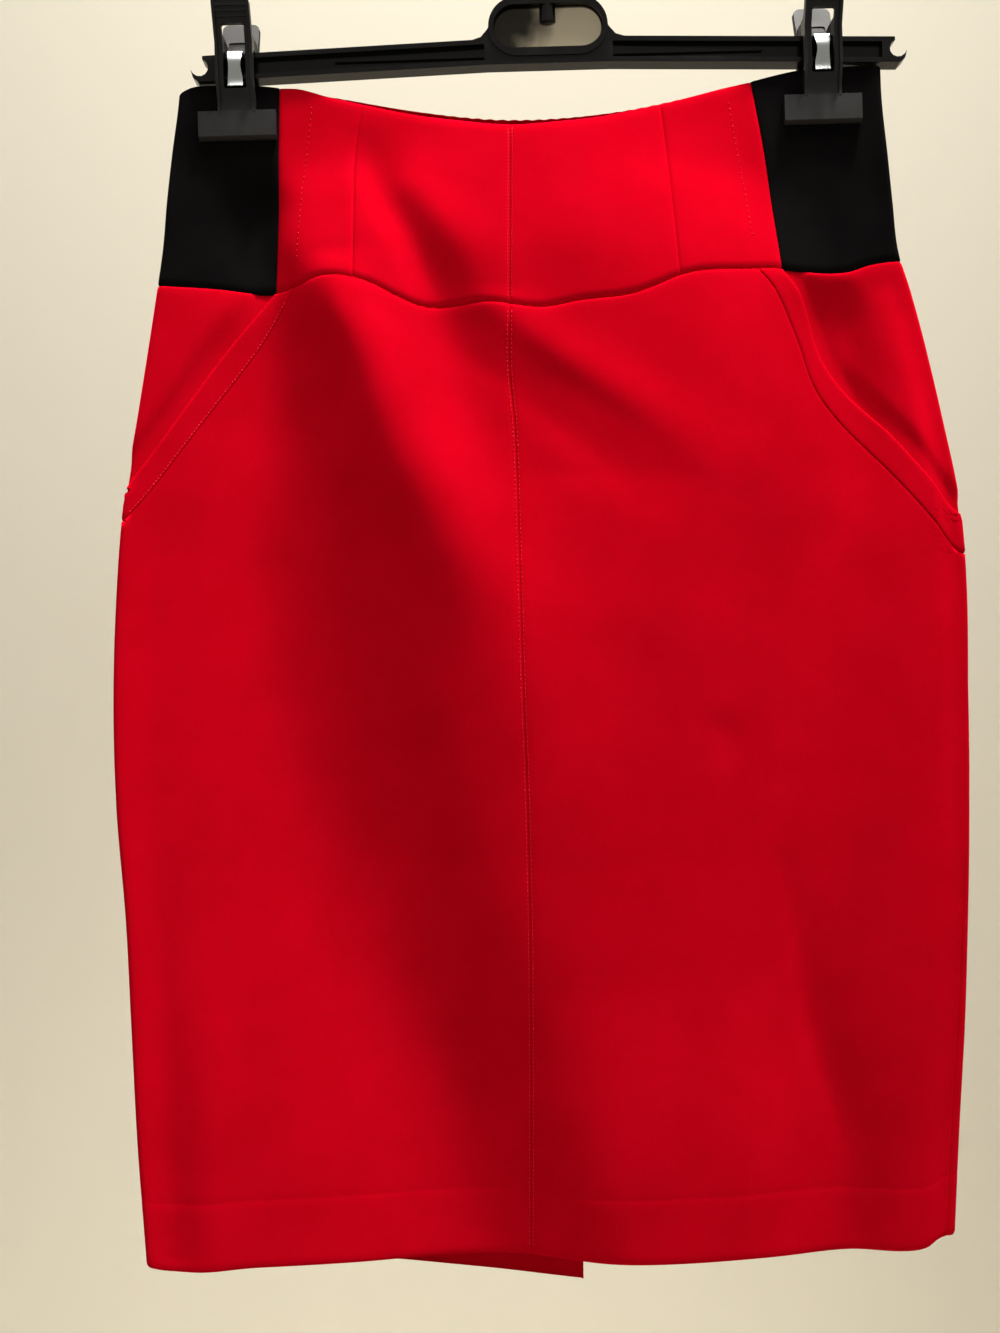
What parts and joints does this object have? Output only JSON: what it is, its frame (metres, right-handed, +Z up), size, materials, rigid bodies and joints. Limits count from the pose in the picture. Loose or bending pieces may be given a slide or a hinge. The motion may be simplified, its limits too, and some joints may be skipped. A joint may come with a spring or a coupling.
{
  "type": "pencil skirt on a clip hanger",
  "caption": "Knee-length pencil skirt with a fitted yoke, black elastic side inserts and slanted pockets, hanging flat from a plastic clip hanger.",
  "frame": {"origin": "underside of the hook's crown, where a rail carries the hanger", "axes": "+Z up, front of the skirt toward -Y, +X to the right seen from the front"},
  "size_m": [0.4655, 0.0561, 0.769],
  "materials": {
    "red_cloth": "smooth woven suiting with a soft sheen, bright red",
    "black_elastic": "fine ribbed elastic, matt black",
    "black_plastic": "semi-gloss black moulded plastic",
    "bright_steel": "bright spring steel strip"
  },
  "bodies": {
    "root": {"yoke_centre_left": "red_cloth", "yoke_centre_right": "red_cloth", "yoke_side_left": "red_cloth", "yoke_side_right": "red_cloth", "elastic_left": "black_elastic", "elastic_right": "black_elastic", "back_yoke": "red_cloth", "front_left": "red_cloth", "front_right": "red_cloth", "pocket_band_left": "red_cloth", "pocket_band_right": "red_cloth", "hip_side_left": "red_cloth", "hip_side_right": "red_cloth", "back_left": "red_cloth", "back_right": "red_cloth", "hanger_bar": "black_plastic", "hanger_hook": "black_plastic", "clip_left_front": "black_plastic", "clip_left_back": "black_plastic", "clip_right_front": "black_plastic", "clip_right_back": "black_plastic", "spring_left": "bright_steel", "spring_right": "bright_steel"}
  },
  "joints": []
}
